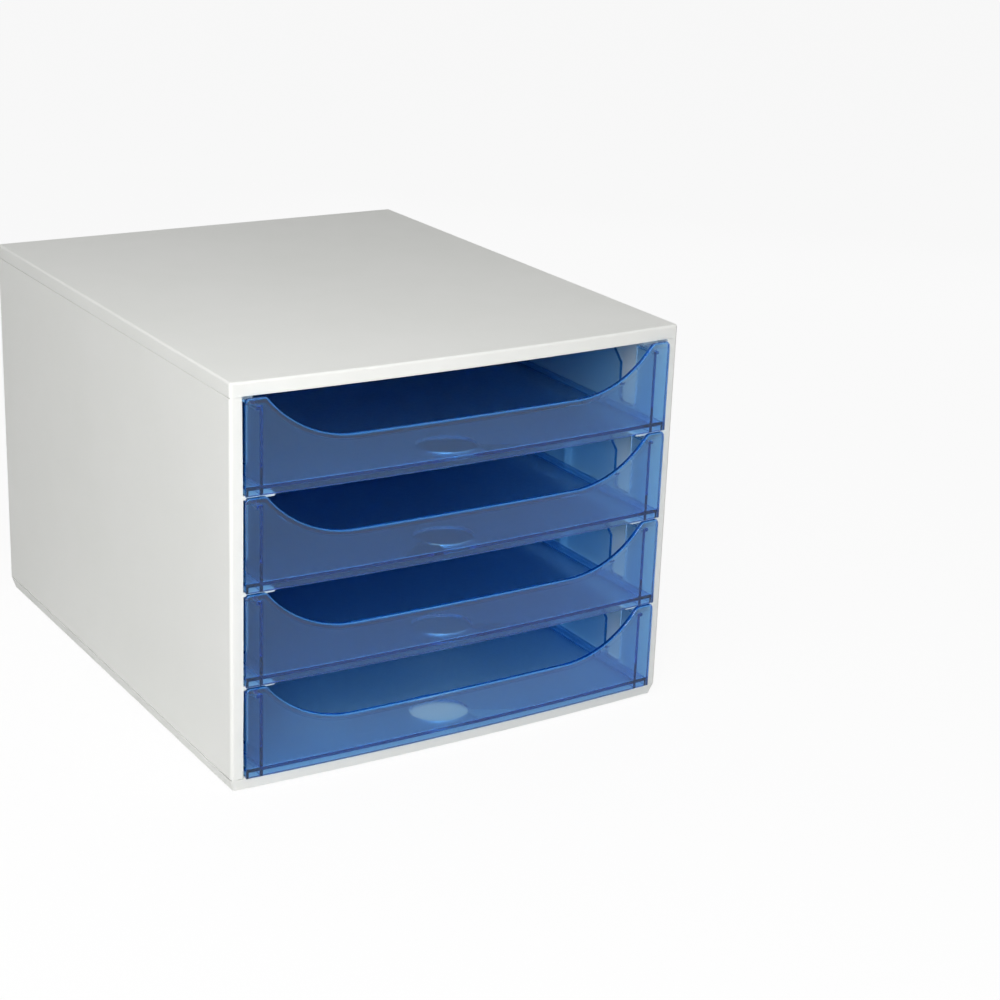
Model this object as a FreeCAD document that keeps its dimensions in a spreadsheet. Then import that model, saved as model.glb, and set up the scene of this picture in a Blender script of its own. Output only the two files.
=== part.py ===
import FreeCAD, Part
import math
import os
import re

import Sketcher

# A desktop file box: a closed housing of five moulded panels on four feet, and four
# one-piece drawers with a scooped, slightly bowed front that slide out on side rails.
# Lengths are in millimetres. +Z is up, the drawers open towards -Y, and the origin is
# the middle of the footprint on the surface that the feet stand on.

DRAWERS = 4
CELL_COLUMNS = 4
TONGUES = 3
CROSS_RIBS = 5
LONG_RIBS = 3
BACK_RIBS = 3
TOUCHING = 1e-4

SIZES = {
    # Whole box
    "box_width": 284.0,
    "box_depth": 348.0,
    "box_height": 234.0,
    "front_crown": 4.2,
    # Moulding walls and the fit between panels
    "skin_thick": 2.2,
    "joint_gap": 0.3,
    "corner_round": 2.0,
    "edge_round": 1.5,
    # Top cover
    "cover_height": 8.0,
    "rib_thick": 1.6,
    "rib_depth": 3.0,
    "rib_margin": 12.0,
    # Base tray
    "base_height": 7.0,
    "base_taper": 2.0,
    "plate_thick": 2.0,
    "deck_rise": 1.0,
    # Feet
    "foot_stand": 1.0,
    "foot_recess": 1.5,
    "foot_diameter": 12.0,
    "foot_inset": 24.0,
    "foot_clearance": 0.15,
    "foot_chamfer": 0.6,
    "boss_wall": 2.0,
    # Side panels
    "side_frame": 7.0,
    "stile_depth": 20.0,
    "cell_rib": 2.2,
    "cell_margin": 1.5,
    "tongue_thick": 2.0,
    "tongue_length": 30.0,
    "tongue_spacing": 105.0,
    "tongue_depth": 4.8,
    # Rails and stops on the side panels
    "rail_reach": 19.0,
    "rail_thick": 2.2,
    "stop_setback": 9.0,
    "stop_length": 6.0,
    "stop_height": 2.6,
    "stop_reach": 10.6,
    # Back panel
    "back_thick": 2.0,
    "groove_depth": 3.0,
    "back_rib_thick": 1.6,
    "back_rib_depth": 1.4,
    # Running clearances and travel of the drawers
    "slide_gap": 0.3,
    "side_gap": 1.0,
    "front_gap": 1.0,
    "back_gap": 3.5,
    "travel": 250.0,
    # Drawer front
    "front_thick": 2.9,
    "rim_width": 2.8,
    "rim_rise": 0.25,
    "shoulder_land": 10.0,
    "scoop_radius": 66.0,
    "scoop_depth": 26.0,
    "shoulder_round": 3.0,
    "front_corner": 1.5,
    # Drawer tray
    "floor_thick": 1.8,
    "wall_thick": 1.8,
    "wall_drop": 5.3,
    "wall_corner": 8.0,
    "wing_width": 8.1,
    "wing_corner": 6.0,
    "runner_height": 2.9,
    "lip_thick": 1.4,
    "lip_inset": 0.2,
    "flange_reach": 2.0,
    "flange_thick": 1.6,
    "finger_diameter": 35.0,
    "finger_setback": 10.5,
    "gusset_length": 15.9,
    "notch_length": 15.3,
    "notch_floor": 6.0,
    "notch_round": 3.0,
    "notch_chamfer": 14.5,
    "lug_length": 8.0,
    "lug_height": 2.6,
    # Overrun of every cutting outline past the faces that it opens
    "overrun": 5.0,
}

DERIVED = {
    # Plan of the housing
    "half_width": "box_width / 2",
    "back": "box_depth / 2",
    "front_proud": "front_thick + slide_gap",
    "front_middle": "front_proud - box_depth / 2",
    "front_side": "front_middle + front_crown",
    "front_radius": "(half_width ^ 2 + front_crown ^ 2) / (2 * front_crown)",
    "arc_centre": "front_middle + front_radius",
    "inner_face": "half_width - side_frame",
    # Levels of the housing
    "base_seam": "foot_stand + base_height",
    "deck_top": "base_seam + deck_rise",
    "cover_seam": "box_height - cover_height",
    "pitch": "(cover_seam - deck_top) / %d" % DRAWERS,
    # Seats of the back panel and of the side panels' tongues
    "back_outer": "back - skin_thick - joint_gap",
    "back_inner": "back_outer - back_thick",
    "skirt_inner": "half_width - base_taper - skin_thick",
    "tongue_outer": "skirt_inner - joint_gap",
    "tongue_inner": "tongue_outer - tongue_thick",
    "tongue_start": "(front_side + back - tongue_length) / 2 - tongue_spacing",
    "cover_hollow": "cover_height - skin_thick",
    "base_hollow": "base_height - plate_thick",
    # Side panels
    "cells_front": "front_side + stile_depth",
    "cells_back": "back_inner - joint_gap - cell_rib",
    "cell_pitch": "(cells_back - cells_front + cell_rib) / %d" % CELL_COLUMNS,
    "cell_low": "deck_top + cell_margin",
    "cell_high": "deck_top + pitch - rail_thick - cell_margin",
    "rail_face": "inner_face - rail_reach",
    "stop_front": "front_side + stop_setback",
    "stop_back": "stop_front + stop_length",
    "stop_top": "deck_top + pitch - rail_thick",
    # Drawer front
    "drawer_half": "inner_face - side_gap",
    "drawer_back": "back_inner - back_gap",
    "front_height": "pitch - front_gap",
    "front_rear": "front_proud - front_thick",
    "front_core": "front_proud - front_thick / 2",
    "shoulder_run": "sqrt(scoop_depth * (2 * (scoop_radius + shoulder_round) - scoop_depth))",
    "shoulder": "drawer_half - shoulder_land",
    "scoop_half": "shoulder - shoulder_run",
    "scoop_low": "front_height - scoop_depth",
    "crest": "scoop_half + shoulder_run * scoop_radius / (scoop_radius + shoulder_round)",
    "crest_level": "front_height - scoop_depth * shoulder_round / (scoop_radius + shoulder_round)",
    "field_radius": "scoop_radius + rim_width",
    "field_low": "scoop_low - rim_width",
    "field_high": "front_height - rim_width",
    "field_end": "scoop_half + sqrt(scoop_depth * (2 * field_radius - scoop_depth))",
    # Drawer tray
    "floor_top": "runner_height + floor_thick",
    "wall_top": "front_height - wall_drop",
    "wall_outer": "drawer_half - wing_width",
    "wall_inner": "wall_outer - wall_thick",
    "lip_outer": "drawer_half - lip_inset",
    "lip_inner": "lip_outer - lip_thick",
    "flange_outer": "wall_outer + flange_reach",
    "finger_centre": "finger_setback + finger_diameter / 2 - box_depth / 2",
    "notch_low": "floor_top + notch_floor",
    "lug_front": "stop_back + travel + slide_gap",
    # Feet
    "boss_diameter": "foot_diameter + 2 * foot_clearance + 2 * boss_wall",
    "recess_diameter": "foot_diameter + 2 * foot_clearance",
}

doc = FreeCAD.newDocument("file_box")
sheet = doc.addObject("Spreadsheet::Sheet", "Sizes")


def fill_sheet():
    """Writes the driving dimensions as plain numbers, each with its name as alias."""
    for row, (name, value) in enumerate(SIZES.items(), start=1):
        sheet.set("A%d" % row, name)
        sheet.set("B%d" % row, str(value))
        sheet.setAlias("B%d" % row, name)
    doc.recompute()


def formula(text):
    """Writes a size in terms of the sheet, with the derived names opened up."""
    def open_up(match):
        word = match.group(0)
        if word in DERIVED:
            return "(" + formula(DERIVED[word]) + ")"
        if word in SIZES:
            return "Sizes." + word
        return word
    return re.sub(r"[a-z_]+", open_up, text)


def front_at(across, ahead="0"):
    """Y of the bowed front, or of a surface that stands ahead of it, at an X."""
    return "(arc_centre - sqrt((front_radius + %s) ^ 2 - (%s) ^ 2))" % (ahead, across)


def value(body, text):
    """The number that a size comes to."""
    return float(body.evalExpression(formula(text)))


def origin_feature(body, role):
    return next(feature for feature in body.Origin.OriginFeatures if feature.Role == role)


def new_body(label):
    body = doc.addObject("PartDesign::Body", label)
    body.Label = label
    return body


# Sketches

def new_sketch(body, name, plane, offset=None):
    """A sketch on one of the body's own planes, moved along the plane's normal."""
    sketch = body.newObject("Sketcher::SketchObject", name)
    sketch.AttachmentSupport = [(origin_feature(body, plane), "")]
    sketch.MapMode = "FlatFace"
    if offset:
        sketch.setExpression("AttachmentOffset.Base.z", formula(offset))
    return sketch


def bind(sketch, kind, place, text, number):
    index = sketch.addConstraint(Sketcher.Constraint(kind, *place, number))
    sketch.setExpression("Constraints[%d]" % index, formula(text))


def arc_middle(start, end, radius, side):
    """The point half way along an arc that bulges to the left (1) or right (-1)."""
    chord = end - start
    half = chord.Length / 2
    across = FreeCAD.Vector(-chord.y, chord.x, 0).normalize() * side
    sagitta = radius - math.sqrt(max(radius ** 2 - half ** 2, 0))
    return (start + end) / 2 + across * sagitta


def outline(sketch, corners):
    """A closed outline. Each corner is (x, y), and (x, y, radius, side) where an arc
    runs from it to the next corner, bulging to the left (1) or right (-1) of the way."""
    points = [FreeCAD.Vector(value(sketch, c[0]), value(sketch, c[1]), 0) for c in corners]
    ends = []
    for i, corner in enumerate(corners):
        start, end = points[i], points[(i + 1) % len(points)]
        if len(corner) == 2:
            index = sketch.addGeometry(Part.LineSegment(start, end), False)
            ends.append((index, 1, 2))
            continue
        radius = value(sketch, corner[2])
        middle = arc_middle(start, end, radius, corner[3])
        turns_left = corner[3] < 0
        arc = Part.Arc(start, middle, end) if turns_left else Part.Arc(end, middle, start)
        index = sketch.addGeometry(arc, False)
        ends.append((index, 1, 2) if turns_left else (index, 2, 1))
        bind(sketch, "Radius", (index,), corner[2], radius)
    for i, (index, _, last) in enumerate(ends):
        following, first, _ = ends[(i + 1) % len(ends)]
        sketch.addConstraint(Sketcher.Constraint("Coincident", index, last, following, first))
    for (index, first, _), corner, point in zip(ends, corners, points):
        bind(sketch, "DistanceX", (-1, 1, index, first), corner[0], point.x)
        bind(sketch, "DistanceY", (-1, 1, index, first), corner[1], point.y)
    return sketch


def rectangle(sketch, left, right, low, high):
    return outline(sketch, [(left, low), (right, low), (right, high), (left, high)])


def circle(sketch, across, along, diameter):
    x, y, size = (value(sketch, text) for text in (across, along, diameter))
    centre = FreeCAD.Vector(x, y, 0)
    index = sketch.addGeometry(Part.Circle(centre, FreeCAD.Vector(0, 0, 1), size / 2), False)
    bind(sketch, "Diameter", (index,), diameter, size)
    bind(sketch, "DistanceX", (-1, 1, index, 3), across, x)
    bind(sketch, "DistanceY", (-1, 1, index, 3), along, y)
    return sketch


# Features

def add_feature(body, kind, name):
    feature = body.newObject("PartDesign::" + kind, name)
    body.Tip = feature
    return feature


def pad(body, name, sketch, length, backward=False):
    feature = add_feature(body, "Pad", name)
    feature.Profile = sketch
    feature.setExpression("Length", formula(length))
    feature.Reversed = backward
    doc.recompute()
    return feature


def pocket(body, name, sketch, length, backward=False, both_ways=False):
    """A cut, which has to take material away."""
    before = body.Shape.Volume
    feature = add_feature(body, "Pocket", name)
    feature.Profile = sketch
    feature.setExpression("Length", formula(length))
    feature.Reversed = backward
    feature.SideType = "Symmetric" if both_ways else "One side"
    doc.recompute()
    if not feature.Shape.Volume < before:
        raise RuntimeError("%s of %s cuts nothing" % (name, body.Label))
    return feature


def repeat(body, name, features, axis, spacing, count, second=None):
    """Copies of features at even spacing along one axis, or along a second one too."""
    feature = add_feature(body, "LinearPattern", name)
    feature.Originals = features
    feature.Direction = (origin_feature(body, axis), [""])
    feature.Mode = "Spacing"
    feature.setExpression("Offset", formula(spacing))
    feature.Occurrences = count
    if second:
        second_axis, second_spacing, second_count = second
        feature.Direction2 = (origin_feature(body, second_axis), [""])
        feature.Mode2 = "Spacing"
        feature.setExpression("Offset2", formula(second_spacing))
        feature.Occurrences2 = second_count
    doc.recompute()
    body.Tip = feature
    return feature


def mirror(body, name, features, plane="YZ_Plane"):
    feature = add_feature(body, "Mirrored", name)
    feature.Originals = features
    feature.MirrorPlane = (origin_feature(body, plane), [""])
    doc.recompute()
    body.Tip = feature
    return feature


def draft_sides(body, name, angle, level):
    """Slopes the upright faces of the body so far inwards, away from a level."""
    base = body.Tip
    faces = list(enumerate(base.Shape.Faces, start=1))
    upright = ["Face%d" % i for i, face in faces if abs(face.normalAt(0, 0).z) < TOUCHING]
    hinge = next(i for i, face in faces if lies_at_level(level)(face))
    feature = add_feature(body, "Draft", name)
    feature.Base = (base, upright)
    feature.NeutralPlane = (base, ["Face%d" % hinge])
    feature.setExpression("Angle", formula(angle))
    feature.Reversed = True
    doc.recompute()
    return feature


def round_edges(body, name, radius, chosen):
    """Rounds the edges of the body so far that the test picks out."""
    dress_edges(body, "Fillet", name, "Radius", radius, chosen)


def bevel_edges(body, name, size, chosen):
    """Cuts off at 45 degrees the edges of the body so far that the test picks out."""
    dress_edges(body, "Chamfer", name, "Size", size, chosen)


def dress_edges(body, kind, name, property_name, text, chosen):
    base = body.Tip
    names = ["Edge%d" % (i + 1) for i, edge in enumerate(base.Shape.Edges) if chosen(edge)]
    if not names:
        raise RuntimeError("%s of %s finds no edge" % (name, body.Label))
    feature = add_feature(body, kind, name)
    feature.Base = (base, names)
    feature.setExpression(property_name, formula(text))
    doc.recompute()


def spans_height(low, high):
    """A test for edges that run up from one level to another."""
    def test(edge):
        levels = sorted(vertex.Point.z for vertex in edge.Vertexes)
        return (len(levels) == 2 and abs(levels[0] - low) < TOUCHING
                and abs(levels[1] - high) < TOUCHING)
    return test


def lies_at_level(level):
    """A test for edges and faces that lie in a level plane."""
    def test(item):
        box = item.BoundBox
        return abs(box.ZMin - level) < TOUCHING and abs(box.ZMax - level) < TOUCHING
    return test


# Outlines that several pieces share

def footprint(sketch, inset="0"):
    """The plan of the box: straight sides and back, and the front bowed outwards."""
    side = "half_width - " + inset
    front = front_at(side, "-" + inset) if inset != "0" else "front_side"
    return outline(sketch, [
        ("-(%s)" % side, "back - " + inset),
        ("-(%s)" % side, front, "front_radius - " + inset, -1),
        (side, front),
        (side, "back - " + inset)])


def bowed_plate(sketch, side, ahead, rear):
    """A plan with a bowed front edge, straight sides and a straight rear edge."""
    front = front_at(side, ahead)
    return outline(sketch, [
        ("-(%s)" % side, rear),
        ("-(%s)" % side, front, "front_radius + " + ahead, -1),
        (side, front),
        (side, rear)])


def bowed_band(sketch, side, outer, inner):
    """A thin plan band that follows the bowed front between two distances ahead of it."""
    return outline(sketch, [
        ("-(%s)" % side, front_at(side, outer), "front_radius + " + outer, -1),
        (side, front_at(side, outer)),
        (side, front_at(side, inner), "front_radius + " + inner, 1),
        ("-(%s)" % side, front_at(side, inner))])


# Housing

def stiffening_ribs(body, level, depth, downward, side, front, rear):
    """A grid of ribs that hang from the underside of a plate, clear of its edges."""
    run = "(%s) - (%s)" % (rear, front)
    cross_step = "(%s - rib_thick) / %d" % (run, CROSS_RIBS - 1)
    cross = new_sketch(body, "cross_rib_outline", "XY_Plane", level)
    rectangle(cross, "-(%s)" % side, side, front, "%s + rib_thick" % front)
    rib = pad(body, "cross_rib", cross, depth, backward=downward)
    repeat(body, "cross_ribs", [rib], "Y_Axis", cross_step, CROSS_RIBS)
    long_step = "(2 * (%s) - rib_thick) / %d" % (side, LONG_RIBS - 1)
    along = new_sketch(body, "long_rib_outline", "XY_Plane", level)
    rectangle(along, "-(%s)" % side, "rib_thick - (%s)" % side, front, rear)
    rib = pad(body, "long_rib", along, depth, backward=downward)
    repeat(body, "long_ribs", [rib], "X_Axis", long_step, LONG_RIBS)


def make_top_cover():
    """A shallow upturned tray: its skirt is the band seen above the drawers."""
    body = new_body("top_cover")
    plan = footprint(new_sketch(body, "cover_plan", "XY_Plane", "cover_seam"))
    pad(body, "cover_block", plan, "cover_height")
    low, high = value(body, "cover_seam"), value(body, "box_height")
    round_edges(body, "cover_corners", "corner_round", spans_height(low, high))
    round_edges(body, "cover_edges", "edge_round", lies_at_level(high))
    inside = footprint(new_sketch(body, "cover_inside", "XY_Plane", "cover_seam"), "skin_thick")
    pocket(body, "cover_cavity", inside, "cover_hollow", backward=True)
    stiffening_ribs(body, "box_height - skin_thick", "rib_depth", True,
                    "tongue_inner - rib_margin", "front_side + rib_margin",
                    "back_inner - rib_margin")
    return body


def foot_places():
    """Names and places of the feet, a fixed inset from the sides, front and back."""
    across = {"left": "foot_inset - half_width", "right": "half_width - foot_inset"}
    along = {"front": "front_side + foot_inset", "rear": "back - foot_inset"}
    return {"foot_%s_%s" % (row, side): (across[side], along[row])
            for row in along for side in across}


def make_base_tray():
    """A drafted band with a ledge for the side panels and a raised deck between them."""
    body = new_body("base_tray")
    plan = footprint(new_sketch(body, "base_plan", "XY_Plane", "base_seam"))
    pad(body, "base_block", plan, "base_height", backward=True)
    low, high = value(body, "foot_stand"), value(body, "base_seam")
    draft_sides(body, "base_draft", "atan(base_taper / base_height)", high)
    round_edges(body, "base_corners", "corner_round", spans_height(low, high))
    deck = bowed_plate(new_sketch(body, "deck_plan", "XY_Plane", "base_seam"),
                       "inner_face - joint_gap", "0", "back_inner - joint_gap")
    pad(body, "deck", deck, "deck_rise")
    inside = footprint(new_sketch(body, "base_inside", "XY_Plane", "foot_stand"),
                       "(base_taper + skin_thick)")
    pocket(body, "base_cavity", inside, "base_hollow", backward=True)
    stiffening_ribs(body, "base_seam - plate_thick", "rib_depth", True,
                    "tongue_inner - rib_margin", "front_side + rib_margin",
                    "back_inner - rib_margin")
    slot = new_sketch(body, "tongue_slot_plan", "XY_Plane", "base_seam")
    rectangle(slot, "tongue_inner - joint_gap", "skirt_inner",
              "tongue_start - joint_gap", "tongue_start + tongue_length + joint_gap")
    first = pocket(body, "tongue_slot", slot, "plate_thick")
    row = repeat(body, "tongue_slots", [first], "Y_Axis", "tongue_spacing", TONGUES)
    other = new_sketch(body, "left_slot_plan", "XY_Plane", "base_seam")
    rectangle(other, "-skirt_inner", "joint_gap - tongue_inner",
              "tongue_start - joint_gap", "tongue_start + tongue_length + joint_gap")
    first = pocket(body, "left_slot", other, "plate_thick")
    row = repeat(body, "left_slots", [first], "Y_Axis", "tongue_spacing", TONGUES)
    for name, (across, along) in foot_places().items():
        boss = new_sketch(body, name + "_boss_plan", "XY_Plane", "foot_stand")
        pad(body, name + "_boss", circle(boss, across, along, "boss_diameter"), "base_hollow")
        recess = new_sketch(body, name + "_recess_plan", "XY_Plane", "foot_stand")
        circle(recess, across, along, "recess_diameter")
        pocket(body, name + "_recess", recess, "foot_recess", backward=True)
    return body


def make_side_panel(label, side):
    """A moulded side: skin outside, cells inside, rails, stops and locating tongues.
    side is 1 for the right-hand panel and -1 for the left-hand one."""
    body = new_body(label)
    right = side > 0

    def x(text):
        return "%d * (%s)" % (side, text)

    plan = new_sketch(body, "panel_plan", "XY_Plane", "base_seam")
    outline(plan, [
        (x("inner_face"), front_at("inner_face")),
        (x("half_width"), "front_side"),
        (x("half_width"), "back"),
        (x("inner_face"), "back")])
    pad(body, "panel_block", plan, "cover_seam - base_seam")

    outer = value(body, x("half_width"))
    upright = spans_height(value(body, "base_seam"), value(body, "cover_seam"))
    round_edges(body, "outer_corners", "corner_round",
                lambda edge: upright(edge) and abs(edge.BoundBox.Center.x - outer) < TOUCHING)

    # Four rows of open cells leave a thin skin, with solid bands where the rails grow
    cell = new_sketch(body, "cell_outline", "YZ_Plane", x("inner_face"))
    rectangle(cell, "cells_front", "cells_front + cell_pitch - cell_rib", "cell_low", "cell_high")
    cut = pocket(body, "cell", cell, "side_frame - skin_thick", backward=right)
    repeat(body, "cells", [cut], "Y_Axis", "cell_pitch", CELL_COLUMNS,
           ("Z_Axis", "pitch", DRAWERS))

    # The back panel slides into this groove
    groove = new_sketch(body, "groove_outline", "YZ_Plane", x("inner_face"))
    rectangle(groove, "back_inner - joint_gap", "back_outer + joint_gap",
              "base_seam - overrun", "cover_seam + overrun")
    pocket(body, "back_groove", groove, "groove_depth", backward=right)

    # Rails with a rounded nose, one under each drawer but the lowest, which runs on the deck
    rail = new_sketch(body, "rail_profile", "XZ_Plane", "joint_gap + cell_rib - back_inner")
    outline(rail, [
        (x("inner_face"), "deck_top + pitch"),
        (x("rail_face + rail_thick / 2"), "deck_top + pitch", "rail_thick / 2", -side),
        (x("rail_face"), "deck_top + pitch - rail_thick / 2", "rail_thick / 2", -side),
        (x("rail_face + rail_thick / 2"), "deck_top + pitch - rail_thick"),
        (x("inner_face"), "deck_top + pitch - rail_thick")])
    first = pad(body, "rail", rail,
                "back_inner - joint_gap - cell_rib - %s" % front_at("inner_face"))
    repeat(body, "rails", [first], "Z_Axis", "pitch", DRAWERS - 1)

    # A stop hangs at the front of each bay, in the way of the lug on the drawer's flange
    stop = new_sketch(body, "stop_outline", "YZ_Plane", x("inner_face"))
    rectangle(stop, "stop_front", "stop_back", "stop_top - stop_height", "stop_top")
    first = pad(body, "stop", stop, "stop_reach", backward=right)
    repeat(body, "stops", [first], "Z_Axis", "pitch", DRAWERS)

    # Tongues locate the panel in the cover above and in the base below
    tongue = new_sketch(body, "upper_tongue_plan", "XY_Plane", "cover_seam")
    rectangle(tongue, x("tongue_inner"), x("tongue_outer"),
              "tongue_start", "tongue_start + tongue_length")
    upper = pad(body, "upper_tongue", tongue, "cover_hollow - joint_gap")
    tongue = new_sketch(body, "lower_tongue_plan", "XY_Plane", "base_seam")
    rectangle(tongue, x("tongue_inner"), x("tongue_outer"),
              "tongue_start", "tongue_start + tongue_length")
    lower = pad(body, "lower_tongue", tongue, "tongue_depth", backward=True)
    repeat(body, "tongues", [upper, lower], "Y_Axis", "tongue_spacing", TONGUES)
    return body


def make_back_panel():
    """A flat panel in the side grooves, stiffened by upright ribs on its inner face."""
    body = new_body("back_panel")
    edge = "inner_face + groove_depth - joint_gap"
    plan = new_sketch(body, "back_plan", "XY_Plane", "base_seam")
    rectangle(plan, "-(%s)" % edge, edge, "back_inner", "back_outer")
    pad(body, "back_plate", plan, "box_height - skin_thick - joint_gap - base_seam")
    step = "2 * inner_face / %d" % (BACK_RIBS + 1)
    rib = new_sketch(body, "back_rib_plan", "XY_Plane", "deck_top + joint_gap")
    first = "-inner_face + %s" % step
    rectangle(rib, "%s - back_rib_thick / 2" % first, "%s + back_rib_thick / 2" % first,
              "back_inner - back_rib_depth", "back_inner")
    rib = pad(body, "back_rib", rib, "cover_seam - deck_top - joint_gap")
    repeat(body, "back_ribs", [rib], "X_Axis", step, BACK_RIBS)
    return body


def make_foot(label, across, along):
    """A rubber button pushed into its recess under the base."""
    body = new_body(label)
    plan = circle(new_sketch(body, "foot_plan", "XY_Plane"), "0", "0", "foot_diameter")
    pad(body, "foot_block", plan, "foot_stand + foot_recess")
    bevel_edges(body, "foot_edge", "foot_chamfer", lies_at_level(0))
    body.setExpression("Placement.Base.x", formula(across))
    body.setExpression("Placement.Base.y", formula(along))
    return body


# Drawer

def scoop_outline(sketch):
    """What is cut off above the top edge of the drawer front: two level shoulders with
    rounded corners, and between them a flat-bottomed scoop with wide round ends."""
    far = "drawer_half + overrun"
    shoulder_side = "front_height - front_corner"
    return outline(sketch, [
        ("-(%s)" % far, "front_height + overrun"),
        ("-(%s)" % far, shoulder_side),
        ("-drawer_half", shoulder_side, "front_corner", 1),
        ("front_corner - drawer_half", "front_height"),
        ("-shoulder", "front_height", "shoulder_round", 1),
        ("-crest", "crest_level", "scoop_radius", -1),
        ("-scoop_half", "scoop_low"),
        ("scoop_half", "scoop_low", "scoop_radius", -1),
        ("crest", "crest_level", "shoulder_round", 1),
        ("shoulder", "front_height"),
        ("drawer_half - front_corner", "front_height", "front_corner", 1),
        ("drawer_half", shoulder_side),
        (far, shoulder_side),
        (far, "front_height + overrun")])


def field_outline(sketch):
    """The frosted field below the polished rim, one rim width in from the top edge."""
    far = "drawer_half + overrun"
    return outline(sketch, [
        ("-(%s)" % far, "-overrun"),
        (far, "-overrun"),
        (far, "field_high"),
        ("field_end", "field_high", "field_radius", 1),
        ("scoop_half", "field_low"),
        ("-scoop_half", "field_low", "field_radius", 1),
        ("-field_end", "field_high"),
        ("-(%s)" % far, "field_high")])


def make_drawer_front(body):
    """The bowed front: a polished rim that stands a little proud of the plate behind it,
    both cut to the same scooped top edge."""
    rim = bowed_band(new_sketch(body, "rim_plan", "XY_Plane"),
                     "drawer_half", "front_proud", "front_proud - rim_rise")
    pad(body, "rim", rim, "front_height")
    field = field_outline(new_sketch(body, "field", "XZ_Plane"))
    pocket(body, "field_recess", field, "2 * box_depth", both_ways=True)
    plate = bowed_band(new_sketch(body, "plate_plan", "XY_Plane"),
                       "drawer_half", "front_proud - rim_rise", "front_rear")
    pad(body, "plate", plate, "front_height")
    scoop = scoop_outline(new_sketch(body, "scoop", "XZ_Plane"))
    pocket(body, "scoop_cut", scoop, "2 * box_depth", both_ways=True)


def make_drawer_floor(body):
    """The floor, with its wings beyond the walls and the finger hole near the front."""
    plan = new_sketch(body, "floor_plan", "XY_Plane", "runner_height")
    front = front_at("lip_outer", "front_core")
    outline(plan, [
        ("-lip_outer", front, "front_radius + front_core", -1),
        ("lip_outer", front),
        ("lip_outer", "drawer_back - wing_corner", "wing_corner", -1),
        ("lip_outer - wing_corner", "drawer_back"),
        ("wing_corner - lip_outer", "drawer_back", "wing_corner", -1),
        ("-lip_outer", "drawer_back - wing_corner")])
    circle(plan, "0", "finger_centre", "finger_diameter")
    pad(body, "floor", plan, "floor_thick")


def make_drawer_walls(body):
    """Side and rear walls as one band with round rear corners. They run on below the
    floor as runners, and carry a flange outside along the top of each side."""
    plan = new_sketch(body, "wall_plan", "XY_Plane")
    front = front_at("wall_outer", "front_core")
    bend = "wall_outer - wall_corner"
    inner_bend = "wall_corner - wall_thick"
    outline(plan, [
        ("-wall_outer", front),
        ("-wall_inner", front),
        ("-wall_inner", "drawer_back - wall_corner", inner_bend, 1),
        ("-(%s)" % bend, "drawer_back - wall_thick"),
        (bend, "drawer_back - wall_thick", inner_bend, 1),
        ("wall_inner", "drawer_back - wall_corner"),
        ("wall_inner", front),
        ("wall_outer", front),
        ("wall_outer", "drawer_back - wall_corner", "wall_corner", -1),
        (bend, "drawer_back"),
        ("-(%s)" % bend, "drawer_back", "wall_corner", -1),
        ("-wall_outer", "drawer_back - wall_corner")])
    pad(body, "walls", plan, "wall_top")
    flange = new_sketch(body, "flange_plan", "XY_Plane", "wall_top - flange_thick")
    rectangle(flange, "wall_inner", "flange_outer", front, "drawer_back - wall_corner")
    flange = pad(body, "flange", flange, "flange_thick")
    lip = new_sketch(body, "lip_plan", "XY_Plane")
    rectangle(lip, "lip_inner", "lip_outer", front_at("lip_inner", "front_core"),
              "drawer_back - wing_corner")
    lip = pad(body, "lip", lip, "floor_top")
    lug = new_sketch(body, "lug_plan", "XY_Plane", "wall_top")
    rectangle(lug, "wall_inner", "flange_outer", "lug_front", "lug_front + lug_length")
    lug = pad(body, "lug", lug, "lug_height")
    mirror(body, "left_side", [flange, lip, lug])


def make_drawer_notches(body):
    """An open notch through both side walls behind the front gussets, with round lower
    corners and a long slope on its rear side."""
    notch = new_sketch(body, "notch_outline", "YZ_Plane")
    near = "(%s + gusset_length)" % front_at("wall_outer", "front_rear")
    far = "(%s + notch_length)" % near
    outline(notch, [
        (near, "wall_top + overrun"),
        (near, "notch_low + notch_round", "notch_round", -1),
        ("%s + notch_round" % near, "notch_low"),
        ("%s - notch_round" % far, "notch_low", "notch_round", -1),
        (far, "notch_low + notch_round"),
        (far, "wall_top - notch_chamfer"),
        ("%s + notch_chamfer + overrun" % far, "wall_top + overrun")])
    pocket(body, "notches", notch, "2 * box_width", both_ways=True)


def make_drawer(number):
    """One drawer. Number 1 is the top one, and each lies a pitch below the one before."""
    body = new_body("drawer_%d" % number)
    make_drawer_front(body)
    make_drawer_floor(body)
    make_drawer_walls(body)
    make_drawer_notches(body)
    lift = "deck_top + slide_gap + %d * pitch" % (DRAWERS - number)
    body.setExpression("Placement.Base.z", formula(lift))
    return body


def make_pieces():
    pieces = [make_top_cover(), make_base_tray(), make_back_panel()]
    pieces.append(make_side_panel("left_side_panel", -1))
    pieces.append(make_side_panel("right_side_panel", 1))
    pieces += [make_foot(name, *place) for name, place in foot_places().items()]
    pieces += [make_drawer(number) for number in range(1, DRAWERS + 1)]
    doc.recompute()
    return pieces


def check_document(pieces):
    """Stops if any object failed, or if a piece isn't one valid solid."""
    for item in doc.Objects:
        if "Invalid" in item.State or "Error" in item.State:
            raise RuntimeError("%s failed: %s" % (item.Label, item.State))
    for piece in pieces:
        shape = piece.Shape
        if shape.isNull() or not shape.isValid() or len(shape.Solids) != 1:
            raise RuntimeError("%s isn't one valid solid" % piece.Label)


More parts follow.
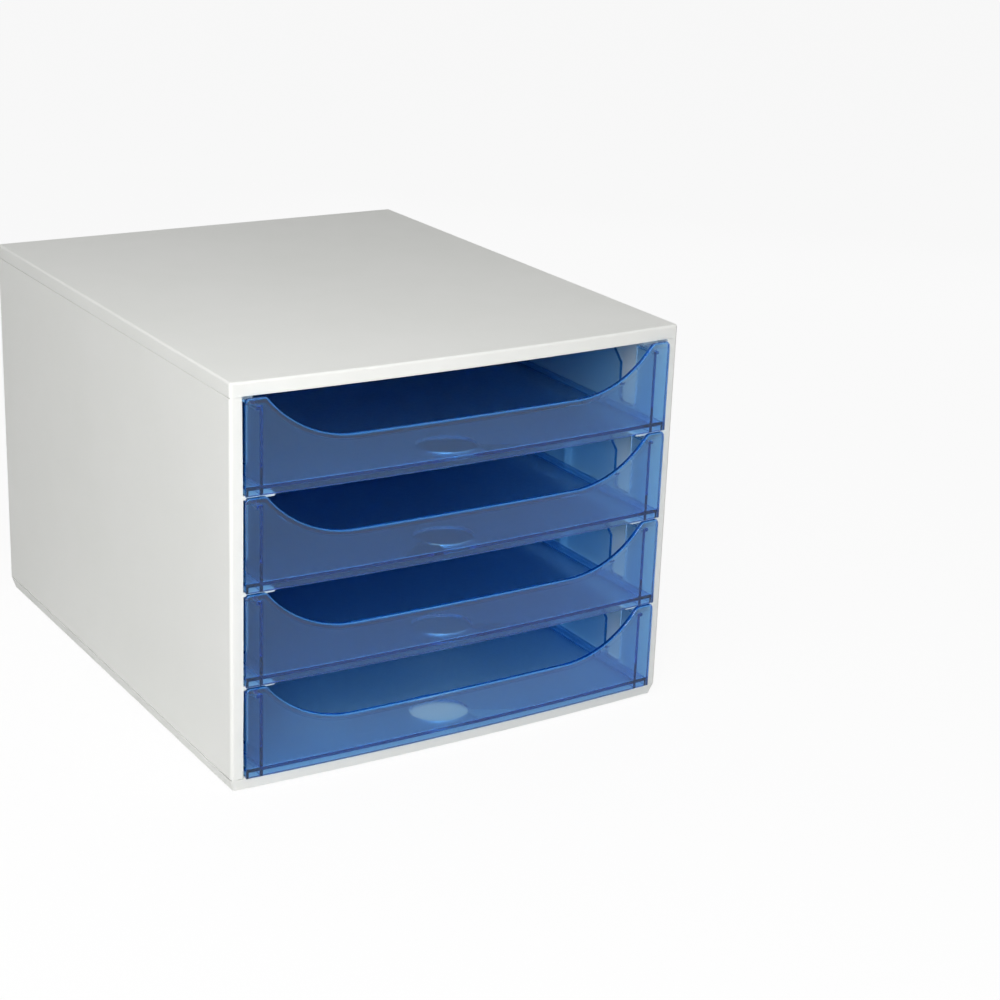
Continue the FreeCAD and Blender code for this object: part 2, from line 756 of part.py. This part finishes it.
def write_pieces(pieces):
    os.makedirs("parts", exist_ok=True)
    for piece in pieces:
        piece.Shape.exportStep(os.path.join("parts", piece.Label + ".step"))
        box = piece.Shape.BoundBox
        print("%-18s %9.1f mm3  x %.1f..%.1f  y %.1f..%.1f  z %.1f..%.1f" % (
            piece.Label, piece.Shape.Volume, box.XMin, box.XMax,
            box.YMin, box.YMax, box.ZMin, box.ZMax))


fill_sheet()
pieces = make_pieces()
check_document(pieces)
write_pieces(pieces)
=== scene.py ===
import math

import bmesh
import bpy
from mathutils import Matrix, Vector


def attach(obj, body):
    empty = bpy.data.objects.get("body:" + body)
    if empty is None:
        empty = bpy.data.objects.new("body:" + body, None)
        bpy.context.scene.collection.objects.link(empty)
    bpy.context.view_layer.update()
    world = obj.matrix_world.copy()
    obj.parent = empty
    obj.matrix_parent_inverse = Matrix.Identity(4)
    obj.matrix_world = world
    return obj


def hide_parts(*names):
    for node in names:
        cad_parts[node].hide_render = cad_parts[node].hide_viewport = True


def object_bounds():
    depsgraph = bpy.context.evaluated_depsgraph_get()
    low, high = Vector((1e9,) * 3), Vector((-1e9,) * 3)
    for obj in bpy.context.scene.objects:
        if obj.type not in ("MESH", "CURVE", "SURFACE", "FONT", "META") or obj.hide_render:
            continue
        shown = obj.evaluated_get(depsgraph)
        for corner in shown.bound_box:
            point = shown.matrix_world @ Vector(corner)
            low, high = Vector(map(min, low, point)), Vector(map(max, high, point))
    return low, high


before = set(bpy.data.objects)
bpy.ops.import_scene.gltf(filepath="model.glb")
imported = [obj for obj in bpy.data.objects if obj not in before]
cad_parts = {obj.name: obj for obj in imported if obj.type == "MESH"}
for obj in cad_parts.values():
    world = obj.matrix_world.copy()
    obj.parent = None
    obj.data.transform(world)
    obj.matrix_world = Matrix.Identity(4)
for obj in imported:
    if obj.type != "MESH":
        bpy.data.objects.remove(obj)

cad_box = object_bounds()
scene = bpy.context.scene

DRAWERS = ["drawer_1", "drawer_2", "drawer_3", "drawer_4"]
PANELS = ["top_cover", "base_tray", "left_side_panel", "right_side_panel", "back_panel"]
FEET = ["foot_front_left", "foot_front_right", "foot_rear_left", "foot_rear_right"]

BASE_SEAM = 0.008
COVER_SEAM = 0.226

# Bowed faces are arcs about one upright line, which lies behind the box. Each is given by its
# radius at the base's seam, and by how much that radius grows per metre of height.
BOW_CENTRE_Y = 2.23179
FIELD = (2.40554, 0)
BASE_DRAFT = 0.002 / 0.007
DRAWER_BOWS = [(2.40289, 0), FIELD, (2.40579, 0)]
HOUSING_BOWS = [(2.39839, 0), (2.40039, 0), (2.40259, 0), (2.40259, BASE_DRAFT)]
NEAR_BOW = 1.6e-5
INNER_BOW, FIELD_BOW, RIM_BOW = 1, 2, 3

# Strips that a bowed face is cut into: their width, and how many lie left and right of x = 0.
STRIP = 0.007
STRIPS = 20

# Widths of the rounded edges, of the rebate along a seam and of the slope beside the rim.
PANEL_ROUND = 0.00035
FOOT_ROUND = 0.00025
DRAWER_ROUND = 0.00022
RIM_ROUND = 0.0008
REBATE = 0.0006
SLOPE = 0.0006

# Edges sharper than the first are rounded, and those sharper than the second shade as sharp.
ROUNDED_ANGLE = math.radians(28)
SHARP_ANGLE = math.radians(38)
FLAT_ANGLE = math.radians(0.05)

# Faces are told apart by the least x of a side's outer faces, the least areas of a drawer's
# floor and walls, and the least y of its other faces that are finished like the rim.
OUTER_X = 0.1415
FLOOR_AREA = 0.01
WALL_AREA = 0.003
RIM_LIKE_Y = -0.165

# How each face of a drawer is finished: the surface's grain, and the light that it scatters.
POLISHED, FROSTED, RIM, FLOOR, WALL, STEP = 0, 1, 2, 3, 4, 5
GRAIN = [0.03, 0.15, 0.03, 0.40, 0.10, 0.03]
HAZE = [0.006, 0.065, 0.26, 0.04, 0.02, 0.14]


# Materials

def new_material(name):
    material = bpy.data.materials.new(name)
    material.use_nodes = True
    tree = material.node_tree
    shader = next(n for n in tree.nodes if n.type == "BSDF_PRINCIPLED")
    return material, tree, shader


def node(tree, kind, **values):
    made = tree.nodes.new(kind)
    for name, value in values.items():
        setattr(made, name, value)
    return made


def noise(tree, scale, detail=2.0, roughness=0.5):
    """Noise over the object's own coordinates, with scale in features per metre."""
    place = node(tree, "ShaderNodeTexCoord")
    made = node(tree, "ShaderNodeTexNoise")
    made.inputs["Scale"].default_value = scale
    made.inputs["Detail"].default_value = detail
    made.inputs["Roughness"].default_value = roughness
    tree.links.new(place.outputs["Object"], made.inputs["Vector"])
    return made.outputs["Fac"]


def ramp(tree, factor, low, high, start, end):
    """Maps factor from low..high to start..end, which are numbers."""
    made = node(tree, "ShaderNodeMapRange")
    made.inputs["From Min"].default_value = low
    made.inputs["From Max"].default_value = high
    made.inputs["To Min"].default_value = start
    made.inputs["To Max"].default_value = end
    tree.links.new(factor, made.inputs["Value"])
    return made.outputs["Result"]


def tint(tree, factor, first, second):
    """Mixes two colours by factor."""
    made = node(tree, "ShaderNodeMix", data_type="RGBA")
    made.inputs["A"].default_value = (*first, 1)
    made.inputs["B"].default_value = (*second, 1)
    tree.links.new(factor, made.inputs["Factor"])
    return made.outputs["Result"]


def bump(tree, shader, height, distance, strength=1.0, under=None):
    made = node(tree, "ShaderNodeBump")
    made.inputs["Distance"].default_value = distance
    made.inputs["Strength"].default_value = strength
    tree.links.new(height, made.inputs["Height"])
    if under is not None:
        tree.links.new(under.outputs["Normal"], made.inputs["Normal"])
    tree.links.new(made.outputs["Normal"], shader.inputs["Normal"])
    return made


def housing_plastic():
    """Moulded white plastic with a fine spark-eroded grain."""
    material, tree, shader = new_material("housing_plastic")
    shade = ramp(tree, noise(tree, 9.0, 3.0, 0.6), 0.3, 0.7, 0.0, 1.0)
    colour = tint(tree, shade, (0.790, 0.798, 0.768), (0.812, 0.816, 0.792))
    tree.links.new(colour, shader.inputs["Base Color"])
    satin = ramp(tree, noise(tree, 60.0, 3.0, 0.6), 0.3, 0.7, 0.58, 0.70)
    tree.links.new(satin, shader.inputs["Roughness"])
    shader.inputs["Specular IOR Level"].default_value = 0.35
    flow = bump(tree, shader, noise(tree, 28.0, 1.0), 0.0006, 0.04)
    bump(tree, shader, noise(tree, 1900.0, 1.0, 0.7), 0.00005, 0.45, flow)
    return material


def product(tree, first, second):
    """Multiplies two values, each a socket or a number, and clamps the result to 0..1."""
    made = node(tree, "ShaderNodeMath", operation="MULTIPLY", use_clamp=True)
    for socket, source in zip(made.inputs, (first, second)):
        if isinstance(source, float):
            socket.default_value = source
        else:
            tree.links.new(source, socket)
    return made.outputs[0]


def clear_blue():
    """See-through blue plastic, with a frosted field and a rim that gathers light."""
    material, tree, shader = new_material("clear_blue")
    shader.inputs["Base Color"].default_value = (0.96, 0.98, 1.0, 1)
    shader.inputs["IOR"].default_value = 1.5
    shader.inputs["Specular IOR Level"].default_value = 0.35
    shader.inputs["Transmission Weight"].default_value = 1.0
    grain = node(tree, "ShaderNodeAttribute", attribute_name="grain").outputs["Fac"]
    haze = node(tree, "ShaderNodeAttribute", attribute_name="haze").outputs["Fac"]
    uneven = ramp(tree, noise(tree, 420.0, 2.0), 0.25, 0.75, 0.7, 1.3)
    tree.links.new(product(tree, grain, uneven), shader.inputs["Roughness"])
    flow = bump(tree, shader, noise(tree, 22.0, 1.0), 0.0006, 0.05)
    speckle = bump(tree, shader, noise(tree, 1500.0, 1.0, 0.7), 0.00004, 0.3, flow)
    tree.links.new(product(tree, grain, 2.0), speckle.inputs["Strength"])

    milky = node(tree, "ShaderNodeBsdfDiffuse")
    milky.inputs["Color"].default_value = (0.010, 0.30, 0.88, 1)
    body = node(tree, "ShaderNodeMixShader")
    tree.links.new(haze, body.inputs[0])
    tree.links.new(shader.outputs[0], body.inputs[1])
    tree.links.new(milky.outputs[0], body.inputs[2])

    output = next(n for n in tree.nodes if n.type == "OUTPUT_MATERIAL")
    absorb = node(tree, "ShaderNodeVolumeAbsorption")
    absorb.inputs["Color"].default_value = (0.0, 0.63, 0.955, 1)
    absorb.inputs["Density"].default_value = 185.0
    tree.links.new(absorb.outputs[0], output.inputs["Volume"])
    straight = node(tree, "ShaderNodeBsdfTransparent")
    straight.inputs["Color"].default_value = (0.88, 0.90, 0.94, 1)
    seen = node(tree, "ShaderNodeLightPath")
    lamp = node(tree, "ShaderNodeMath", operation="ADD", use_clamp=True)
    mix = node(tree, "ShaderNodeMixShader")
    tree.links.new(seen.outputs["Is Shadow Ray"], lamp.inputs[0])
    tree.links.new(seen.outputs["Is Diffuse Ray"], lamp.inputs[1])
    tree.links.new(lamp.outputs[0], mix.inputs[0])
    tree.links.new(body.outputs[0], mix.inputs[1])
    tree.links.new(straight.outputs[0], mix.inputs[2])
    tree.links.new(mix.outputs[0], output.inputs["Surface"])
    return material


def rubber():
    material, tree, shader = new_material("rubber")
    dust = ramp(tree, noise(tree, 300.0, 3.0, 0.6), 0.35, 0.7, 0.0, 1.0)
    colour = tint(tree, dust, (0.030, 0.030, 0.032), (0.075, 0.074, 0.072))
    tree.links.new(colour, shader.inputs["Base Color"])
    dull = ramp(tree, noise(tree, 500.0, 2.0), 0.3, 0.7, 0.68, 0.86)
    tree.links.new(dull, shader.inputs["Roughness"])
    bump(tree, shader, noise(tree, 1400.0, 2.0), 0.00008, 0.5)
    return material


# Pieces

def roomy(edge, width):
    """True where no edge beside this one is too short for the rounding."""
    return all(other.calc_length() > 1.2 * width for v in edge.verts for other in v.link_edges)


def soften(work, width, segments, chosen, finish=-1):
    """Rounds the sharp edges that are chosen. The new faces take the finish."""
    edges = [e for e in work.edges
             if e.is_manifold and e.calc_face_angle() > ROUNDED_ANGLE and chosen(e)]
    bmesh.ops.bevel(work, geom=edges, offset=width, offset_type="OFFSET", segments=segments,
                    profile=0.5, affect="EDGES", clamp_overlap=False, loop_slide=True,
                    material=finish)


def on_bow(point, bow):
    """The point moved along Y onto the bow."""
    radius = bow[0] + bow[1] * (point.z - BASE_SEAM)
    return Vector((point.x, BOW_CENTRE_Y - math.sqrt(radius ** 2 - point.x ** 2), point.z))


def mark_bows(work, bows):
    """Notes on each face which bow it lies on, counting from 1, and 0 elsewhere."""
    mark = work.faces.layers.int.new("bow")
    for face in work.faces:
        if abs(face.normal.y) > 0.9:
            for number, bow in enumerate(bows, 1):
                if all((on_bow(v.co, bow) - v.co).length < NEAR_BOW for v in face.verts):
                    face[mark] = number
    return mark


def merge_flats(work, mark):
    """Joins the triangles of each flat face, and of each bowed one."""
    free = [e for e in work.edges if not any(f[mark] for f in e.link_faces)]
    lone = [v for v in work.verts if not any(f[mark] for f in v.link_faces)]
    bmesh.ops.dissolve_limit(work, angle_limit=FLAT_ANGLE, verts=lone, edges=free)
    seams = [e for e in work.edges if len(e.link_faces) == 2 and e.link_faces[0][mark]
             and e.link_faces[0][mark] == e.link_faces[1][mark]]
    bmesh.ops.dissolve_edges(work, edges=seams, use_verts=False)


def smooth_bows(work, mark, bows):
    """Cuts the bowed faces into narrow upright strips that lie on their arcs."""
    for step in range(-STRIPS, STRIPS + 1):
        faces = [f for f in work.faces if f[mark]]
        edges = {e for f in faces for e in f.edges}
        points = {v for f in faces for v in f.verts}
        bmesh.ops.bisect_plane(work, geom=faces + list(edges) + list(points), dist=0.001,
                               plane_co=(step * STRIP, 0, 0), plane_no=(1, 0, 0))
    for face in work.faces:
        if face[mark]:
            for vert in face.verts:
                vert.co = on_bow(vert.co, bows[face[mark] - 1])
                vert.co.y = max(vert.co.y, cad_box[0][1])


def moulding(name, body, material, bows, shape):
    """A finely finished copy of a CAD node, which stands for it."""
    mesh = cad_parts[name].data.copy()
    piece = bpy.data.objects.new(name + "_moulding", mesh)
    scene.collection.objects.link(piece)
    mesh.materials.clear()
    mesh.materials.append(material)
    work = bmesh.new()
    work.from_mesh(mesh)
    bmesh.ops.remove_doubles(work, verts=work.verts, dist=2e-6)
    bmesh.ops.recalc_face_normals(work, faces=work.faces)
    mark = mark_bows(work, bows)
    merge_flats(work, mark)
    smooth_bows(work, mark, bows)
    for face in work.faces:
        face.material_index = POLISHED
    shape(work, mark)
    grain = work.faces.layers.float.new("grain")
    haze = work.faces.layers.float.new("haze")
    for face in work.faces:
        face[grain] = GRAIN[face.material_index]
        face[haze] = HAZE[face.material_index]
        face.material_index = 0
        face.smooth = True
    work.faces.layers.int.remove(mark)
    work.to_mesh(mesh)
    work.free()
    mesh.set_sharp_from_angle(angle=SHARP_ANGLE)
    even = piece.modifiers.new("even", "WEIGHTED_NORMAL")
    even.keep_sharp = True
    even.weight = 80
    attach(piece, body)
    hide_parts(name)


def panel_shape(work, mark):
    """Every roomy edge gets the small radius of a moulded edge."""
    soften(work, PANEL_ROUND, 2, lambda e: roomy(e, PANEL_ROUND))


def side_shape(work, mark):
    """A side also gets a rebate along the seams above and below it, outside and in front."""
    def on_seam(edge):
        level = any(all(abs(v.co.z - z) < 1e-5 for v in edge.verts)
                    for z in (BASE_SEAM, COVER_SEAM))
        outer = any(abs(f.normal.z) < 0.1
                    and (abs(f.calc_center_median().x) > OUTER_X or f[mark])
                    for f in edge.link_faces)
        return level and outer

    edges = [e for e in work.edges if e.is_manifold and on_seam(e)]
    bmesh.ops.bevel(work, geom=edges, offset=REBATE, offset_type="OFFSET", segments=2,
                    profile=0.0, affect="EDGES", clamp_overlap=False, loop_slide=True)
    panel_shape(work, mark)


def foot_shape(work, mark):
    soften(work, FOOT_ROUND, 2, lambda e: roomy(e, FOOT_ROUND))


def slope_step(work, mark):
    """Turns the step between the rim and the field into a narrow slope."""
    steps = [f for f in work.faces if not f[mark]
             and {FIELD_BOW, RIM_BOW} <= {n[mark] for e in f.edges for n in e.link_faces}]
    for vert in {v for f in steps for v in f.verts}:
        if any(f[mark] == FIELD_BOW for f in vert.link_faces):
            away = sum((f.normal for f in vert.link_faces if f in steps), Vector())
            vert.co = on_bow(vert.co + away.normalized() * SLOPE, FIELD)
    for face in steps:
        face.material_index = STEP


def drawer_shape(work, mark):
    """Gives each face its finish, and rounds the scooped rim and the edges of the walls."""
    def on_rim_top(edge):
        marks = {f[mark] for f in edge.link_faces}
        level = any(not f[mark] and f.normal.z > 0.15 for f in edge.link_faces)
        return level and bool(marks & {INNER_BOW, RIM_BOW})

    for face in work.faces:
        if face[mark] == FIELD_BOW:
            face.material_index = FROSTED
        elif face.normal.z > 0.95 and face.calc_area() > FLOOR_AREA:
            face.material_index = FLOOR
        elif abs(face.normal.x) > 0.95 and face.calc_area() > WALL_AREA:
            face.material_index = WALL
        elif (face.normal.y < -0.3 and not face[mark]
              and face.calc_center_median().y > RIM_LIKE_Y):
            face.material_index = RIM
    slope_step(work, mark)
    soften(work, RIM_ROUND, 4, on_rim_top, RIM)
    soften(work, DRAWER_ROUND, 2, lambda e: roomy(e, DRAWER_ROUND))


white = housing_plastic()
blue = clear_blue()
dark = rubber()
for name in PANELS:
    shape = side_shape if "side" in name else panel_shape
    moulding(name, "housing", white, HOUSING_BOWS, shape)
for name in FEET:
    moulding(name, "housing", dark, [], foot_shape)
for name in DRAWERS:
    moulding(name, name, blue, DRAWER_BOWS, drawer_shape)


# Floor, light and camera

# Each lamp's name, place, target, size, watts and spread in degrees.
LAMPS = [
    ("overhead", (-0.75, -0.7, 1.45), (-0.2, -0.25, 0.0), (1.3, 1.3), 14.0, 180),
    ("key", (-0.555, -1.024, 0.756), (-0.06, -0.17, 0.08), (0.5, 0.5), 8.4, 180),
    ("side", (-1.35, -0.55, 0.15), (-0.1, -0.05, 0.05), (0.5, 0.2), 0.6, 180),
    ("fill", (1.1, 1.0, 0.13), (0.05, 0.05, 0.13), (1.0, 0.16), 0.75, 60),
]
FLOOR_GLOW = 0.92
AMBIENT = 0.12

# The photograph's viewpoint, fitted to the corners of the box and of the drawers.
CAMERA_AZIMUTH, CAMERA_ELEVATION, CAMERA_ROLL = -32.848, 19.514, 2.288
CAMERA_PLACE = (-0.59843, -1.13158, 0.55191)
CAMERA_LENS = 78.02


def looked_at(tree):
    """1 for a ray from the camera, also by a reflection or through a clear wall, or else 0."""
    seen = node(tree, "ShaderNodeLightPath").outputs
    result = seen["Is Camera Ray"]
    for other in ("Is Glossy Ray", "Is Transmission Ray"):
        either = node(tree, "ShaderNodeMath", operation="MAXIMUM")
        tree.links.new(result, either.inputs[0])
        tree.links.new(seen[other], either.inputs[1])
        result = either.outputs[0]
    return result


def stage_floor():
    work = bmesh.new()
    bmesh.ops.create_grid(work, x_segments=2, y_segments=2, size=6.0)
    mesh = bpy.data.meshes.new("floor")
    work.to_mesh(mesh)
    work.free()
    floor = bpy.data.objects.new("floor", mesh)
    scene.collection.objects.link(floor)
    material, tree, shader = new_material("floor_white")
    shader.inputs["Base Color"].default_value = (0.92, 0.92, 0.92, 1)
    shader.inputs["Roughness"].default_value = 0.9
    output = next(n for n in tree.nodes if n.type == "OUTPUT_MATERIAL")
    glow = node(tree, "ShaderNodeEmission")
    glow.inputs["Color"].default_value = (1, 1, 1, 1)
    share = node(tree, "ShaderNodeMath", operation="MULTIPLY")
    share.inputs[1].default_value = FLOOR_GLOW
    mix = node(tree, "ShaderNodeMixShader")
    tree.links.new(looked_at(tree), share.inputs[0])
    tree.links.new(share.outputs[0], mix.inputs[0])
    tree.links.new(shader.outputs[0], mix.inputs[1])
    tree.links.new(glow.outputs[0], mix.inputs[2])
    tree.links.new(mix.outputs[0], output.inputs["Surface"])
    floor.data.materials.append(material)


def stage_world():
    world = bpy.data.worlds.new("studio")
    scene.world = world
    world.use_nodes = True
    tree = world.node_tree
    tree.nodes.clear()
    output = node(tree, "ShaderNodeOutputWorld")
    soft = node(tree, "ShaderNodeBackground")
    soft.inputs["Color"].default_value = (1, 1, 1, 1)
    soft.inputs["Strength"].default_value = AMBIENT
    backdrop = node(tree, "ShaderNodeBackground")
    backdrop.inputs["Color"].default_value = (1, 1, 1, 1)
    backdrop.inputs["Strength"].default_value = 1.0
    mix = node(tree, "ShaderNodeMixShader")
    tree.links.new(looked_at(tree), mix.inputs[0])
    tree.links.new(soft.outputs[0], mix.inputs[1])
    tree.links.new(backdrop.outputs[0], mix.inputs[2])
    tree.links.new(mix.outputs[0], output.inputs["Surface"])


def area_light(name, place, target, size, power, spread):
    light = bpy.data.lights.new(name, "AREA")
    light.shape = "RECTANGLE"
    light.size, light.size_y = size
    light.energy = power
    light.spread = math.radians(spread)
    lamp = bpy.data.objects.new(name, light)
    scene.collection.objects.link(lamp)
    lamp.location = place
    aim = Vector(target) - Vector(place)
    lamp.rotation_euler = aim.to_track_quat("-Z", "Y").to_euler()


def photo_camera():
    azimuth, elevation, roll = (
        math.radians(a) for a in (CAMERA_AZIMUTH, CAMERA_ELEVATION, CAMERA_ROLL))
    back = Vector((math.sin(azimuth) * math.cos(elevation),
                   -math.cos(azimuth) * math.cos(elevation), math.sin(elevation)))
    right = Vector((0, 0, 1)).cross(back).normalized()
    up = back.cross(right)
    across = math.cos(roll) * right + math.sin(roll) * up
    upward = math.cos(roll) * up - math.sin(roll) * right
    camera = bpy.data.objects.new("camera", bpy.data.cameras.new("camera"))
    scene.collection.objects.link(camera)
    axes = Matrix((across, upward, back)).transposed().to_4x4()
    camera.matrix_world = Matrix.Translation(CAMERA_PLACE) @ axes
    camera.data.sensor_width = 36.0
    camera.data.lens = CAMERA_LENS
    scene.camera = camera


stage_floor()
stage_world()
for lamp in LAMPS:
    area_light(*lamp)
photo_camera()
scene.view_settings.view_transform = "Standard"
# A ray of light crosses many clear walls in the stacked drawers.
scene.cycles.caustics_refractive = False
scene.cycles.caustics_reflective = False
scene.cycles.max_bounces = 22
scene.cycles.glossy_bounces = 9
scene.cycles.transmission_bounces = 16
scene.cycles.transparent_max_bounces = 24
